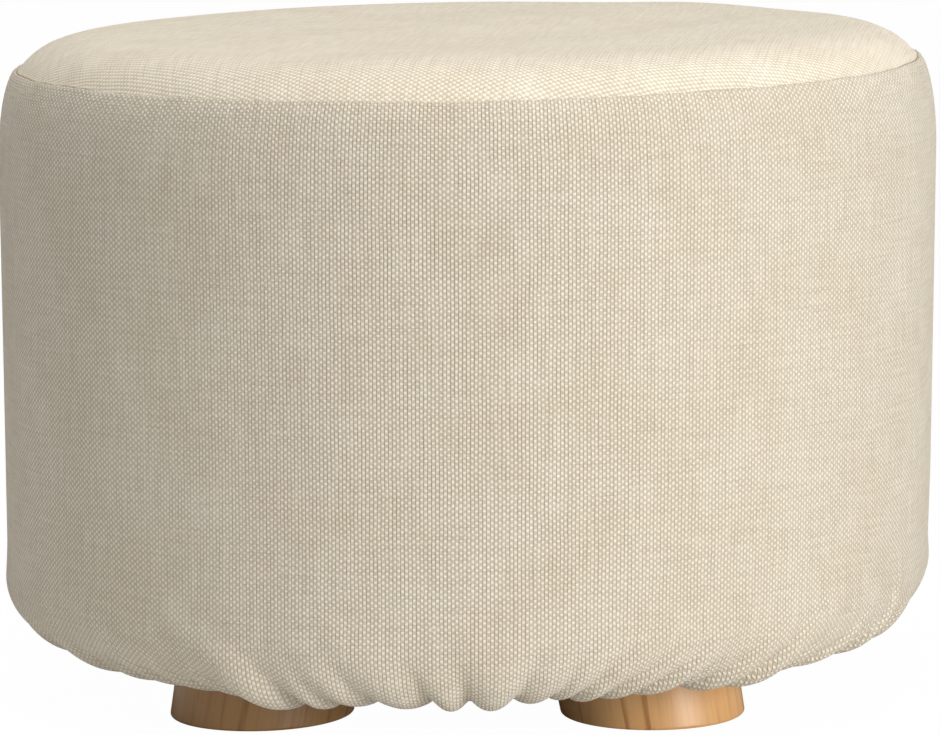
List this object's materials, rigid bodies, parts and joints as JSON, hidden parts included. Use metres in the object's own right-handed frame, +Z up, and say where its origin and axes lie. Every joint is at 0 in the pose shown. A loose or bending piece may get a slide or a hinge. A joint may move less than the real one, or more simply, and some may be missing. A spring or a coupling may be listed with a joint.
{
  "type": "upholstered footstool",
  "caption": "Low round upholstered footstool with a loose woven cover, a gathered elastic hem and short splayed wooden feet.",
  "frame": {"origin": "on the floor under the middle of the seat", "axes": "+Z up along the axis of the drum; the front looks along -Y, with two feet at the front and two at the back"},
  "size_m": [0.28, 0.28, 0.1965],
  "materials": {
    "cover_cloth": "matte plain weave",
    "lining_cloth": "matte",
    "elastic_webbing": "matte",
    "seat_foam": "matte",
    "side_foam": "matte",
    "plywood": "matte",
    "hardboard": "matte",
    "pine_batten": "matte",
    "foot_wood": "satin",
    "zinc_steel": "satin",
    "dust_cloth": "matte"
  },
  "bodies": {
    "root": {"base_staples": "zinc_steel", "bottom_board": "plywood", "bottom_board_screws": "zinc_steel", "cover_side_band": "cover_cloth", "cover_top_panel": "cover_cloth", "drum_wall": "hardboard", "dust_cloth": "dust_cloth", "foot_back_left": "foot_wood", "foot_back_right": "foot_wood", "foot_bolt_back_left": "zinc_steel", "foot_bolt_back_right": "zinc_steel", "foot_bolt_front_left": "zinc_steel", "foot_bolt_front_right": "zinc_steel", "foot_front_left": "foot_wood", "foot_front_right": "foot_wood", "frame_post_back": "pine_batten", "frame_post_front": "pine_batten", "frame_post_left": "pine_batten", "frame_post_right": "pine_batten", "hem_elastic": "elastic_webbing", "inner_lining": "lining_cloth", "seat_foam": "seat_foam", "side_foam": "side_foam", "tee_nut_back_left": "zinc_steel", "tee_nut_back_right": "zinc_steel", "tee_nut_front_left": "zinc_steel", "tee_nut_front_right": "zinc_steel", "top_board": "plywood", "top_board_screws": "zinc_steel"}
  },
  "joints": []
}
